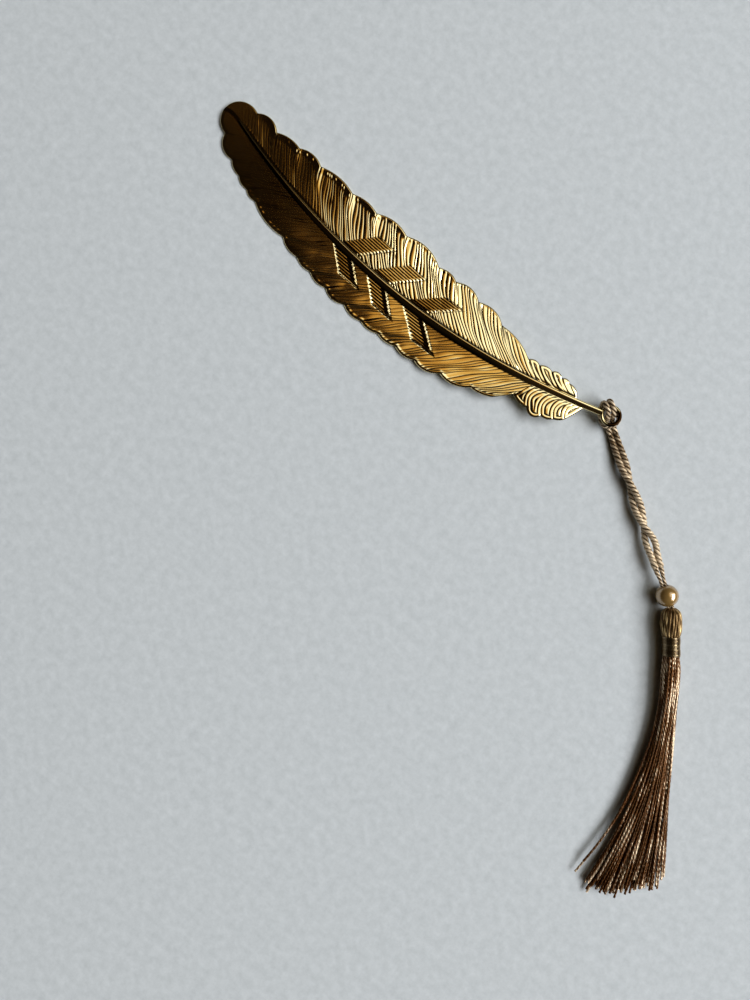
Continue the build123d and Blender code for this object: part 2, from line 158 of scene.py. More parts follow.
def giltBrass():
    # Stamped brass sheet, gold plated and polished: bright warm ridges; the brown-black in grooves, hollows
    # and shaded places is painted shade.
    material, tree = newMaterial("stamped gilt brass")
    paintedShade = addNode(tree, "Attribute", attribute_name="paintedShade")
    blotch = addNoise(tree, 7.0, 3.0)  # tarnish
    haze = addNoise(tree, 0.4, 2.0)  # polishing marks, coarser than the real ones so that they show
    gold = addRamp(tree, blotch, [(0.3, linearColour("#ebd7a0")), (0.7, linearColour("#f6e7b8"))])
    # painted shade: the shading attribute mixes the gold towards near black; where it is low the gold shows
    # as painted highlight
    dark = addNode(tree, "MapRange", {"Value": paintedShade.outputs["Fac"], "From Min": 0.2, "From Max": 0.9})
    mixed = addNode(tree, "Mix", {"Factor": dark.outputs["Result"], "A": gold,
                                  "B": linearColour("#1c0e03")}, data_type="RGBA")
    rough = addNode(tree, "MapRange", {"Value": haze, "To Min": 0.07, "To Max": 0.13})
    bump = addNode(tree, "Bump", {"Height": haze, "Strength": 0.03, "Distance": 0.04 * mm})
    return finishMaterial(material, tree, {
        "Base Color": mixed.outputs["Result"], "Metallic": 1.0, "Roughness": rough.outputs["Result"],
        "Normal": bump.outputs["Normal"]})


def twistedThread(name, light, middle, dark, roughness, lustre, fibres, glaze=0.0):
    # Continuous-filament yarn, doubled and twisted: satin, with a glint on each turn of the twist.
    # It is part metallic, because its filaments give coloured glints that a plain gloss lacks.
    material, tree = newMaterial(name)
    ply = addNode(tree, "Attribute", attribute_name="ply")
    tone = addNode(tree, "Attribute", attribute_name="tone")
    wrap = addNode(tree, "Attribute", attribute_name="wrap")
    # the ply shading paints each ply's crest lighter, a painted glint, and the crevices between plies darker,
    # painted shade
    shade = addNode(tree, "Math", {0: ply.outputs["Fac"], 1: tone.outputs["Fac"]}, operation="MULTIPLY")
    colour = addRamp(tree, shade.outputs[0], [(0.0, linearColour(dark)), (0.55, linearColour(middle)),
                                              (1.0, linearColour(light))])
    # filaments run round the ply; a real one is 0.02 mm, drawn wider so that it shows
    strand = addNode(tree, "Math", {0: wrap.outputs["Fac"], 1: float(fibres)}, operation="MULTIPLY")
    wave = addNode(tree, "Math", {0: strand.outputs[0]}, operation="SINE")
    fuzz = addNoise(tree, 0.3, 2.0)
    height = addNode(tree, "Math", {0: wave.outputs[0], 1: fuzz}, operation="ADD")
    bump = addNode(tree, "Bump", {"Height": height.outputs[0], "Strength": 0.25, "Distance": 0.03 * mm})
    rough = addNode(tree, "MapRange", {"Value": fuzz, "To Min": roughness - 0.07, "To Max": roughness + 0.07})
    return finishMaterial(material, tree, {
        "Base Color": colour, "Roughness": rough.outputs["Result"], "IOR": 1.53, "Specular IOR Level": 0.6,
        "Metallic": lustre, "Specular Tint": linearColour("#ffd8a8"), "Coat Weight": glaze,
        "Coat Roughness": 0.12, "Normal": bump.outputs["Normal"]})


def imitationPearl():
    # Moulded bead dipped in pearl essence: cream over gold, under a clear glossy coat.
    material, tree = newMaterial("imitation pearl")
    flow = addNoise(tree, 1.5, 2.0)  # flow marks of the dip
    body = addNode(tree, "Mix", {"Factor": flow, "A": linearColour("#94743e"),
                                 "B": linearColour("#b29058")}, data_type="RGBA")
    return finishMaterial(material, tree, {
        "Base Color": body.outputs["Result"], "Metallic": 0.45, "Roughness": 0.25, "IOR": 1.55,
        "Coat Weight": 1.0, "Coat Roughness": 0.08, "Coat IOR": 1.9})


def drawingPaper():
    # Uncoated paper: matt, pale and cool, with a faint fibre tooth.
    material, tree = newMaterial("drawing paper")
    tooth = addNoise(tree, 2.2, 6.0, 0.7)  # clumps of fibre
    colour = addRamp(tree, tooth, [(0.25, linearColour("#b4bcc3")), (0.75, linearColour("#cbd2d9"))])
    bump = addNode(tree, "Bump", {"Height": tooth, "Strength": 0.12, "Distance": 0.1 * mm})
    return finishMaterial(material, tree, {
        "Base Color": colour, "Roughness": 0.9, "Specular IOR Level": 0.1, "Normal": bump.outputs["Normal"]})


brass = giltBrass()
cordYarn = twistedThread("satin twisted cord", "#d9c6aa", "#5a4731", "#100803", 0.3, 0.2, 5)
silkYarn = twistedThread("satin tassel thread", "#f4dfc0", "#5e3614", "#0a0300", 0.27, 0.5, 3)
# taken as a metallic, lacquered thread, since it shows a bright band of light
bindingYarn = twistedThread("glazed binding thread", "#f0e0b8", "#65543a", "#100903", 0.2, 0.9, 2, 0.4)
headYarn = twistedThread("satin head thread", "#dcc08a", "#5c4424", "#0a0401", 0.3, 0.4, 4)
pearl = imitationPearl()
print("materials: 6 and the paper")


# lines, tubes and ropes

def routeLine(points):
    # the route's smooth line, read from a NURBS curve with no bevel
    curve = bpy.data.curves.new("route", "CURVE")
    curve.dimensions = "3D"
    spline = curve.splines.new("NURBS")
    spline.points.add(len(points) - 1)
    for knot, point in zip(spline.points, points):
        knot.co = (point[0] * mm, point[1] * mm, point[2] * mm, 1)
    spline.order_u = 3
    spline.use_endpoint_u = True
    spline.resolution_u = 24
    holder = addObject("route", curve)
    mesh = bpy.data.meshes.new_from_object(holder)
    line = np.array([v.co for v in mesh.vertices]) / mm
    bpy.data.objects.remove(holder)
    bpy.data.curves.remove(curve)
    bpy.data.meshes.remove(mesh)
    return line


def lengthAlong(line):
    return np.concatenate([[0], np.cumsum(np.linalg.norm(np.diff(line, axis=0), axis=1))])


def evenLine(line, gap):
    steps = lengthAlong(line)
    count = max(2, int(round(steps[-1] / gap)) + 1)
    at = np.linspace(0, steps[-1], count)
    return np.stack([np.interp(at, steps, line[:, k]) for k in range(3)], axis=1), at


def carriedFrames(line):
    along = np.gradient(line, axis=0)
    along /= np.linalg.norm(along, axis=1)[:, None]
    side = np.zeros_like(line)
    helper = np.array([0, 0, 1.0]) if abs(along[0, 2]) < 0.8 else np.array([1.0, 0, 0])
    last = np.cross(along[0], helper)
    for i, way in enumerate(along):
        last = last - np.dot(last, way) * way
        last /= np.linalg.norm(last)
        side[i] = last
    return side, np.cross(along, side)


def tube(line, radius, sides=8, lobes=0, lobeDepth=0.0, lay=1.0, phase=0.0, tone=1.0):
    # round or lobed tube along a line; the lobes turn once in each lay
    at = lengthAlong(line)
    side, up = carriedFrames(line)
    radius = np.broadcast_to(np.asarray(radius, float), (len(line),))
    angle = np.linspace(0, 2 * math.pi, sides, endpoint=False)[None, :]
    turn = phase - 2 * math.pi * at[:, None] / lay
    swell = np.cos(lobes * (angle - turn)) if lobes else np.ones((len(line), sides))
    reach = radius[:, None] * (1 + lobeDepth * swell if lobes else swell)
    points = line[:, None, :] + reach[..., None] * (
        np.cos(angle)[..., None] * side[:, None, :] + np.sin(angle)[..., None] * up[:, None, :])
    rings, n = len(line), sides
    grid = np.arange(rings * n).reshape(rings, n)
    nextGrid = np.roll(grid, -1, axis=1)
    faces = quads(grid[:-1], nextGrid[:-1], nextGrid[1:], grid[1:])
    faces.append(grid[0][::-1].tolist())
    faces.append(grid[-1].tolist())
    # painted glint on each ply's crest and painted shade in the crevices between plies
    ply = (0.35 + 0.65 * smoothStep(-0.8, 0.8, swell)).ravel() if lobes else np.ones(rings * n)
    tone = np.repeat(np.broadcast_to(np.asarray(tone, float), (rings,)), n)
    wrap = (angle * lobes / 2 + at[:, None] * 3.0 if lobes else angle + at[:, None] * 6.0).ravel()
    return points.reshape(-1, 3), faces, {"ply": ply, "tone": tone, "wrap": wrap}


def patchyTone(t, low, high, palest, share):
    # light and dark stretches of 2 to 6 mm along a thread
    marks = t[0] + np.cumsum(2 + 4 * rng.rand(int((t[-1] - t[0]) / 2) + 3)) - 4
    values = np.where(rng.rand(len(marks)) < share, high + (palest - high) * rng.rand(len(marks)),
                      low + (high - low) * rng.rand(len(marks)))
    return np.interp(t, marks, values)


def rope(line, radius, lay, plies=3, sides=9, gap=0.14, phase=0.0, shade=(1.0, 1.0)):
    # S-laid plies side by side inside a round outline; the twist is looser here and there
    line, at = evenLine(line, gap)
    side, up = carriedFrames(line)
    radius = np.broadcast_to(np.asarray(radius, float), (len(line),))
    share = 1 / (1 + 1 / math.sin(math.pi / plies))
    wander = 0.3 * np.sin(0.9 * at + 2 * phase) + 0.15 * np.sin(2.1 * at)
    parts = []
    for k in range(plies):
        turn = phase + 2 * math.pi * k / plies - 2 * math.pi * at / lay + wander
        centre = line + (radius * (1 - share))[:, None] * (
            np.cos(turn)[:, None] * side + np.sin(turn)[:, None] * up)
        plyTone = (1.0, 0.93, 0.97)[k % 3] * np.linspace(*shade, len(line))
        plyTone = plyTone * (1 + 0.16 * np.sin(1.3 * at + 2.4 * k))
        part = tube(centre, radius * share * 1.06, sides, tone=plyTone)
        away = part[0].reshape(len(line), sides, 3) - line[:, None, :]
        depth = np.linalg.norm(away, axis=2) / radius[:, None]
        # painted shade: a ply darkens where it turns in towards the rope's middle
        part[2]["ply"] = smoothStep(0.62, 1.02, depth).ravel()
        parts.append(part)
    return joinParts(parts), line


def lathe(profile, place, sides, closed=False, ripple=None):
    # a profile of (along, radius) turned round the axis that place() gives
    rows = np.array(profile, float)
    angle = np.linspace(0, 2 * math.pi, sides, endpoint=False)
    radius = rows[:, 1][:, None] * np.ones(sides)[None, :]
    if ripple is not None:
        radius = radius + ripple(rows[:, 0][:, None], angle[None, :])
    points = place(rows[:, 0][:, None] + 0 * radius, radius * np.cos(angle), radius * np.sin(angle))
    grid = np.arange(len(rows) * sides).reshape(len(rows), sides)
    if closed:
        grid = np.concatenate([grid, grid[:1]])
    nextGrid = np.roll(grid, -1, axis=1)
    faces = quads(grid[:-1], grid[1:], nextGrid[1:], nextGrid[:-1])
    if not closed:
        faces.append(grid[0].tolist())
        faces.append(grid[-1][::-1].tolist())
    ones = np.ones(len(rows) * sides)
    # a turned piece gets a fixed dark ply value, painted shade for a core seen between threads
    return points.reshape(-1, 3), faces, {"ply": ones * 0.35, "tone": ones, "wrap": ones * 0}


# cord: hitched on the eyelet, two free strands, squeezed through the bead

cord = {
    "eyelet": (57.4, 7.3038), "angle": -34.9, "diameter": 1.4, "lay": 3.3, "shade": (0.68, 1.4),
    "radius": 0.8, "tight": 0.64, "easing": 5.0,  # tight round the ring, full size 5 mm further on
    "hitch": [(4.25, 0.685, 0.675), (0.925, 0.685, 0.675), (-0.375, 0.685, 4.525), (-3.375, 0.685, 4.525),
              (-3.375, 0.685, 2.075), (-0.925, 2.085, 2.075), (2.2, 2.085, 2.075)],
    "left": [(4.3, -0.685, 0.675), (8.8, -0.76, 0.98), (13.0, -0.92, 1.78), (17.4, -0.04, 2.72),
             (22.2, 0.86, 2.30), (26.8, 0.40, 1.40), (31.0, -0.86, 1.66), (34.6, -0.685, 2.65),
             (37.55, -0.685, 2.65)],
    "right": [(4.3, 0.685, 0.675), (8.8, 0.76, 0.84), (13.0, 0.84, 0.92), (17.4, 0.04, 0.96),
              (22.4, -0.94, 1.60), (26.8, -0.46, 2.74), (31.2, 1.26, 3.04), (34.6, 0.685, 2.65),
              (37.55, 0.685, 2.65)],
    "lengths": (0.0339, 0.0339),
    "gather": [(37.5, 0.685, 2.65), (38.6, 0.66, 2.65), (39.9, 0.45, 2.65), (42.0, 0.42, 2.65),
               (45.0, 0.42, 2.65), (48.1, 0.42, 2.65)],
    "gatherAt": (0, 0.8, 2.6, 11), "gatherRadius": (0.62, 0.6, 0.41, 0.41),
}
ahead = np.array([math.cos(math.radians(cord["angle"])), math.sin(math.radians(cord["angle"])), 0])
beside = np.array([-ahead[1], ahead[0], 0])
upward = np.array([0, 0, 1.0])
eyeletPlace = np.array([*cord["eyelet"], 0])


def cordPlace(q, p, z):
    # q ahead along the cord, p beside it, z above the page
    flat = eyeletPlace + np.multiply.outer(q, ahead) + np.multiply.outer(p, beside)
    return flat + np.multiply.outer(z, upward)


for name, key, length, phase in (("cordStrandLeft", "left", cord["lengths"][0], 0.4),
                                 ("cordStrandRight", "right", cord["lengths"][1], 1.7)):
    line = routeLine([cordPlace(*point) for point in cord[key]])
    line, at = evenLine(line, 0.14)
    radius = np.interp(at, (0, cord["easing"]), (cord["tight"], cord["radius"]))
    part, path = rope(line, radius, cord["lay"], phase=phase, shade=cord["shade"])
    strand = makePiece(name, part, cordYarn, 80)
    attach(strand, "cord")
    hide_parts("cord_strand_" + key)

half = cord["hitch"]
loop = half + [(q, -p, z) for q, p, z in half[::-1]]
line, _ = evenLine(routeLine([cordPlace(*point) for point in loop]), 0.12)
part, _ = rope(line, cord["tight"], cord["lay"], gap=0.12)  # pulled tight round the ring
hitch = makePiece("cordHitch", part, cordYarn, 80)
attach(hitch, "hitch")
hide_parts("cord_hitch")

pair = []
for side, phase in ((1, 0.9), (-1, 2.6)):
    line, at = evenLine(routeLine([cordPlace(q, side * p, z) for q, p, z in cord["gather"]]), 0.14)
    radius = np.interp(at, cord["gatherAt"], cord["gatherRadius"])
    pair.append(rope(line, radius, cord["lay"], phase=phase)[0])
gather = makePiece("cordGather", joinParts(pair), cordYarn, 80)
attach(gather, "cord")
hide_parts("cord_gather")
print("cord: hitch, 2 strands, gathered pair")


# pearl bead, bored

bead = {"radius": 2.65, "bore": 0.97, "ahead": 44.5, "level": 2.65, "sides": 72, "edge": 0.05}
start = math.asin(bead["bore"] / bead["radius"])
arc = np.linspace(start + bead["edge"], math.pi - start - bead["edge"], 60)
profile = [(-bead["radius"] * math.cos(a), bead["radius"] * math.sin(a)) for a in arc]
lip = bead["radius"] * math.cos(start + bead["edge"])
profile += [(lip - 0.12, bead["bore"]), (0, bead["bore"]), (-lip + 0.12, bead["bore"])]


def beadPlace(t, y, z):
    return cordPlace(bead["ahead"] + t, y, bead["level"] + z)


beadPiece = makePiece("pearlBead", lathe(profile, beadPlace, bead["sides"], closed=True), pearl)
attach(beadPiece, "bead")
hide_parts("pearl_bead")
print("bead: 1")


# tassel: folded head, knot, neck, close binding, skirt of twisted threads

tassel = {
    "swing": (96.4802, -19.959, 2.65), "angle": -52.5,
    "headProfile": [(0.22, 1.12), (0.45, 1.75), (1.0, 2.22), (2.0, 2.44), (3.4, 2.5), (4.8, 2.44),
                    (5.8, 2.28), (6.75, 1.98)],
    "headThreads": 18, "headThread": 0.42, "headSlant": 0.05, "headUneven": 0.05, "mouth": (0.25, 0.45),
    "headTone": (0.68, 0.92, 1.2, 0.35),
    "knot": (2.75, 0.5, 0.16275, 0.34),  # its place, half length, size and thread
    "neck": (6.4, 11.5, 1.72), "neckRidges": (0.05, 24, 0.3),
    "bindingTurns": 14, "bindingSteps": 40, "bindingRadius": 0.26, "bindingReach": 1.83,
    "bindingSpan": (6.72, 11.3), "bindingTone": (0.42, 0.2),
}
down = np.array([math.cos(math.radians(tassel["angle"])), math.sin(math.radians(tassel["angle"])), 0])
across = np.array([-down[1], down[0], 0])
swingPlace = np.array(tassel["swing"])


def tasselPlace(t, y, z):
    # t down the tassel from its hinge, y across it, z above its middle
    flat = swingPlace + np.multiply.outer(t, down) + np.multiply.outer(y, across)
    return flat + np.multiply.outer(z, upward)


stations = np.array(tassel["headProfile"])
t = np.linspace(stations[0, 0], stations[-1, 0], 44)
outline = np.interp(t, stations[:, 0], stations[:, 1])
outline = np.convolve(np.pad(outline, 2, mode="edge"), np.ones(5) / 5, mode="valid")
parts = []
for k in range(tassel["headThreads"]):
    turn = 2 * math.pi * k / tassel["headThreads"] + tassel["headUneven"] * rng.randn()
    turn = turn + tassel["headSlant"] * (t - 3)
    reach = outline - tassel["headThread"]
    line = tasselPlace(t, reach * np.cos(turn), reach * np.sin(turn))
    # each thread starts inside the mouth, so that it looks folded over
    deep, narrow = tassel["mouth"]
    fold = reach[0] * narrow
    inside = tasselPlace(t[0] + deep, fold * math.cos(turn[0]), fold * math.sin(turn[0]))
    line, at = evenLine(np.concatenate([inside[None, :], line]), 0.16)
    tone = patchyTone(at, *tassel["headTone"]) * (0.85 + 0.3 * rng.rand())
    parts.append(tube(line, tassel["headThread"], 8, 2, 0.03, 7.0, rng.rand() * 6, tone))
# the core shows between the head's threads and is painted dark, as painted shade
core = [(a, r - tassel["headThread"]) for a, r in zip(t[::3], outline[::3])]
parts.append(lathe(core, tasselPlace, 40))
head = makePiece("tasselHead", joinParts(parts), headYarn, 80)
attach(head, "tassel")
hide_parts("tassel_head")

# the stopper knot is a trefoil
knotAt, knotLong, knotSize, knotThread = tassel["knot"]
a = np.linspace(0, 2 * math.pi, 90)
line = tasselPlace(knotAt + knotLong * np.sin(3 * a), knotSize * (np.sin(a) + 2 * np.sin(2 * a)),
                   knotSize * (np.cos(a) - 2 * np.cos(2 * a)))
knot = makePiece("cordKnot", tube(line, knotThread, 8, 3, 0.15, 1.5), cordYarn, 80)
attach(knot, "tassel")
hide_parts("cord_knot")

first, last, radius = tassel["neck"]
neckProfile = [(a, radius) for a in np.linspace(first, last, 12)]


def neckRipple(along, angle):
    depth, count, slant = tassel["neckRidges"]
    return depth * np.cos(count * angle + slant * along)


neckPart = lathe(neckProfile, tasselPlace, 96, ripple=neckRipple)
neck = makePiece("tasselNeck", neckPart, silkYarn, 80)
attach(neck, "tassel")
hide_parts("tassel_neck")

first, last = tassel["bindingSpan"]
turns, steps = tassel["bindingTurns"], tassel["bindingSteps"]
a = np.linspace(0, 2 * math.pi * turns, steps * turns)
reach = tassel["bindingReach"] + 0.04 * np.sin(a / 9.0)
along = first + (last - first) * a / a[-1] + 0.03 * np.sin(a * 0.5)
line = tasselPlace(along + 0.1 * np.cos(a), reach * np.cos(a), reach * np.sin(a))
plain, varied = tassel["bindingTone"]
bindingTone = plain + varied * np.repeat(rng.rand(turns), steps)
bindingPart = tube(line, tassel["bindingRadius"], 10, tone=bindingTone)
binding = makePiece("neckBinding", bindingPart, bindingYarn, 80)
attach(binding, "tassel")
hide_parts("neck_binding")

skirt = {
    "count": 108, "bundle": 1.74, "goldenTurn": 2.39996, "thread": 0.245, "lay": 2.5, "layers": 2,
    "start": 10.7, "fan": 12.4, "length": 54.6, "edgeShort": 0.06, "uneven": 0.0175, "step": 0.27,
    "halfSpread": 10.8, "spreadPower": 2.2, "drift": 11.5, "driftPower": 1.7,
    "strayEdge": -0.9, "strayShort": 0.95, "strayDrift": 4.2,  # the outermost threads on one side
    "puff": (0.2, 11.2, 15), "sway": 0.35, "heap": 2.0, "heapSway": 0.12, "floor": 0.32,
    "tone": (0.2, 0.75, 1.6, 0.4),
}
puff, puffBegin, puffEnd = skirt["puff"]
axisLevel = tassel["swing"][2]
layers = [[] for _ in range(skirt["layers"])]
for k in range(skirt["count"]):
    seatRadius = skirt["bundle"] * math.sqrt((k + 0.5) / skirt["count"])
    seatTurn = k * skirt["goldenTurn"]  # threads spread evenly over the bundle
    side, rise = seatRadius * math.cos(seatTurn), seatRadius * math.sin(seatTurn)
    near = side / skirt["bundle"]
    reach = skirt["length"] * (1 - skirt["edgeShort"] * near ** 2 + skirt["uneven"] * rng.randn())
    if near < skirt["strayEdge"]:
        reach = reach * skirt["strayShort"]
    t = np.linspace(skirt["start"], skirt["fan"] + reach, int(reach / skirt["step"]))
    share = np.clip((t - skirt["fan"]) / skirt["length"], 0, 1.05)
    spread = 1 + (skirt["halfSpread"] / skirt["bundle"] - 1) * share ** skirt["spreadPower"]
    swell = 1 + puff * smoothStep(puffBegin, puffEnd, t) * (1 - share)
    y = side * np.maximum(spread, swell) - skirt["drift"] * share ** skirt["driftPower"]
    if near < skirt["strayEdge"]:
        y = y - skirt["strayDrift"] * share ** 3
    y = y + skirt["sway"] * share * np.sin(2 * math.pi * (share * (0.8 + rng.rand()) + rng.rand()))
    heap = skirt["floor"] + (rise / skirt["bundle"] + 1) / 2 * skirt["heap"] - axisLevel
    heap = heap + skirt["heapSway"] * np.sin(2 * math.pi * (share * 1.3 + rng.rand()))
    drop = share ** 0.9
    z = rise * swell * (1 - drop) + heap * drop
    z = np.maximum(z, skirt["thread"] * 1.15 - axisLevel + 0.03)
    tone = patchyTone(t, *skirt["tone"]) * (0.7 + 0.6 * rng.rand())
    # painted light: threads are lighter at the top, where they crowd under the neck in the light, and darker
    # lower down, where they lie in each other's shade; the ends are lighter again
    tone = tone * (1.25 - 0.35 * smoothStep(0, 0.4, share) + 0.3 * smoothStep(0.8, 1, share))
    part = tube(tasselPlace(t, y, z), skirt["thread"], 8, 2, 0.22, skirt["lay"], rng.rand() * 6, tone)
    layers[k % skirt["layers"]].append(part)
for number, parts in enumerate(layers):
    piece = makePiece("skirtThreads%d" % (number + 1), joinParts(parts), silkYarn, 80)
    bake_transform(piece)
    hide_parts("skirt_threads")
print("tassel: head, knot, neck, binding,", skirt["count"], "skirt threads")


# feather blade: two vanes of barbs, downy tufts, rachis and eyelet, all one stamping

blade = {
    "length": 120.0, "width": 25.9, "middle": (60.0, -10.101), "sheet": 0.5, "lift": 0.1,
    "tipRise": (0.5, 18.0), "quillRise": (2.825, 60.0, 52.0, 0.2),
    "ribTip": (4.56, -0.259), "ribBelly": (63.96, -10.4118), "eyelet": (117.4, -2.7972),
    "ribAt": (4.6, 71, 115), "ribHalf": (0.35, 1.1, 0.75),
    # each lobe: its first cusp and its middle, along and across, as shares of length and width
    "upperLobes": [
        (0.057, 0.156, 0.083, 0.193), (0.111, 0.124, 0.138, 0.156), (0.166, 0.137, 0.192, 0.168),
        (0.222, 0.122, 0.260, 0.147), (0.305, 0.100, 0.335, 0.125), (0.367, 0.091, 0.402, 0.135),
        (0.442, 0.093, 0.480, 0.129), (0.531, 0.044, 0.552, 0.069), (0.576, 0.033, 0.602, 0.069),
        (0.636, 0.008, 0.662, 0.035), (0.701, -0.037, 0.742, -0.056), (0.783, -0.143, 0.794, -0.112),
        (0.807, -0.127, 0.823, -0.095), (0.834, -0.106, 0.845, -0.077), (0.858, -0.100, 0.867, -0.079),
        (0.876, -0.097, 0.888, -0.098)],
    "lowerLobes": [
        (0.030, -0.174, 0.042, -0.286), (0.072, -0.328, 0.086, -0.386), (0.103, -0.407, 0.116, -0.454),
        (0.131, -0.463, 0.143, -0.500), (0.159, -0.504, 0.202, -0.595), (0.247, -0.608, 0.268, -0.668),
        (0.293, -0.678, 0.311, -0.714), (0.332, -0.712, 0.354, -0.755), (0.376, -0.743, 0.400, -0.790),
        (0.425, -0.761, 0.449, -0.803), (0.472, -0.790, 0.492, -0.809), (0.514, -0.786, 0.535, -0.805),
        (0.557, -0.782, 0.581, -0.809), (0.604, -0.782, 0.628, -0.803), (0.660, -0.737, 0.686, -0.753),
        (0.724, -0.672, 0.761, -0.645), (0.802, -0.486, 0.822, -0.515), (0.838, -0.510, 0.853, -0.548),
        (0.869, -0.494, 0.882, -0.486), (0.892, -0.452, 0.902, -0.429), (0.910, -0.394, 0.918, -0.310)],
    "joins": (0.905, 0.927), "quillWidth": 1.5, "tuftLobes": (11, 16),
}
# a lean is its value near the tip and its change to the quill; rim and camber go from one value to the other
upperVane = {
    "side": 1, "nearLean": (1.0, 0.5), "farLean": (0.55, 0.3),
    "pitch": 1.0, "uneven": 0.24, "depth": 0.075, "wave": 0.25, "cut": 3.5, "level": 0.9,  # barbs
    "rows": 88, "dense": (0.68, 0.62),  # rows of mesh, closer towards the rachis
    "shingle": 0.17, "stepWide": 0.16, "stepLong": 4.5,  # lobes that overlap
    "rim": (1.7, 0.7), "roll": 0.35, "lip": 0.0, "rimRise": 0.13,
    "bandSink": 0.02, "sunkEnd": 0.0, "seamFoot": None,
    "grooveShade": (0.55, 1.0, 0.6), "strokes": 0.12,  # painted shade in the grooves: near the tip, in the middle, near the quill
    "knobs": 0.016, "knobShade": 0.8, "knobPitch": 0.75, "gutter": 0.1,
    "camber": (0.1, 0.3), "edgeLift": 0.0,
}
lowerVane = {
    "side": -1, "nearLean": (1.3, 0.0), "farLean": (1.1, 0.1),
    "pitch": 1.08, "uneven": 0.3, "depth": 0.05, "wave": 0.34, "cut": 3.0, "level": 0.0,
    "rows": 100, "dense": (0.66, 0.48),
    "shingle": 0.17, "stepWide": 0.24, "stepLong": 5.0,
    "rim": (0.9, 0.8), "roll": 0.8, "lip": 0.085, "rimRise": 0.0,
    "bandSink": 0.13, "sunkEnd": 1.0, "seamFoot": 98.6,
    "grooveShade": (0.5, 0.8, 0.75), "strokes": 0.4,
    "knobs": 0.0, "knobShade": 0.0, "knobPitch": 0.75, "gutter": 0.0,
    "camber": (0.1, -0.36), "edgeLift": 0.22,
}
# where each kind of relief comes in, and where it goes out, in mm from the tip
zones = {
    "slimRim": [(35, 75)], "deepBarbs": [(24, 62)], "lateBarbs": [(60, 75)], "firstBarbs": [(0, 14)],
    "levelBarbs": [(50, 62)], "shingles": [(20, 50)], "steps": [(12, 30)], "beads": [(9, 22), (80, 66)],
    "lip": [(50, 64)], "rimRise": [(6, 13), (66, 42)], "knobs": [(4, 8), (32, 22)], "gutter": [(5, 14)],
    "crown": [(20, 55)], "dish": [(57, 74)], "narrowLines": [(40, 75)],
}
# where the painted shade in the grooves changes strength, in mm from the tip
grooveShadeAt = (22, 50, 68, 85)
barb = {"leanBegin": 25, "leanRun": 60, "straighten": 20, "waveAcross": 0.75, "waveAlong": 0.55,
        "waveBegin": 3.5}
bands = {
    "upper": [((41.5, -8.3), (48.0, -1.8), (46.0, -8.7)), ((51.5, -9.0), (58.0, -2.8), (56.2, -9.4)),
              ((62.8, -9.4), (69.5, -3.7), (67.5, -9.5))],
    "lower": [((41.7, -10.7), (45.7, -14.4), (47.0, -11.0)), ((52.3, -11.5), (56.5, -15.5), (57.7, -11.8)),
              ((63.5, -11.9), (69.2, -16.5), (69.3, -12.0))],
    # real ribs are about 0.53 mm apart, drawn coarser so that they show
    "height": 0.13, "ribPitch": 0.62, "ribDepth": 0.02, "tooth": 0.22,
}
downy = {"pitch": 0.92, "first": 0.4, "depth": 0.05, "upperLean": 1.4, "lowerBulge": 0.26, "rows": 84,
         "gap": 0.075, "roll": 0.5, "swell": (0.16, 2.4), "sink": (0.25, 1.2)}


def bladePlace(u, v, z):
    return np.stack([u - blade["middle"][0], v - blade["middle"][1], z + 0 * u], axis=-1)


def sheetLevel(u):
    rise, run = blade["tipRise"]
    tip = rise * np.clip((run - u) / run, 0, None) ** 2
    high, begin, length, ease = blade["quillRise"]
    s = np.clip((u - begin) / length, 0, 1)
    bend = 2 * ease * (1 - ease)
    ramp = np.where(s < ease, s ** 2 / bend, (s - ease / 2) / (1 - ease))
    return tip + high * np.where(s > 1 - ease, 1 - (1 - s) ** 2 / bend, ramp)


def sheetSlope(u):
    return (sheetLevel(u + 0.05) - sheetLevel(u - 0.05)) / 0.1


def zone(name, u):
    share = 1.0
    for begin, end in zones[name]:
        share = share * smoothStep(begin, end, u)
    return share


def circleThrough(a, b, c):
    d = 2 * (a[0] * (b[1] - c[1]) + b[0] * (c[1] - a[1]) + c[0] * (a[1] - b[1]))
    sq = [p[0] ** 2 + p[1] ** 2 for p in (a, b, c)]
    x = (sq[0] * (b[1] - c[1]) + sq[1] * (c[1] - a[1]) + sq[2] * (a[1] - b[1])) / d
    y = (sq[0] * (c[0] - b[0]) + sq[1] * (a[0] - c[0]) + sq[2] * (b[0] - a[0])) / d
    return x, y, math.hypot(a[0] - x, a[1] - y)


ribX, ribY, ribRadius = circleThrough(blade["ribTip"], blade["ribBelly"], blade["eyelet"])


def rachisLine(u):
    # centre of the rachis; ahead of its end it eases to the tip point
    onArc = ribY - np.sqrt(ribRadius ** 2 - (u - ribX) ** 2)
    s = np.clip(u / blade["ribTip"][0], 0, 1)
    return onArc * s


def arcPoints(a, b, c, gap=0.05):
    x, y, r = circleThrough(a, b, c)
    angles = [math.atan2(p[1] - y, p[0] - x) for p in (a, b, c)]
    turn = (angles[1] - angles[0] + math.pi) % (2 * math.pi) - math.pi
    rest = (angles[2] - angles[1] + math.pi) % (2 * math.pi) - math.pi
    count = max(4, int(abs(turn + rest) * r / gap))
    s = angles[0] + np.linspace(0, turn + rest, count)
    return np.stack([x + r * np.cos(s), y + r * np.sin(s)], axis=1)


def lobePoint(along, wide):
    return along * blade["length"], wide * blade["width"]


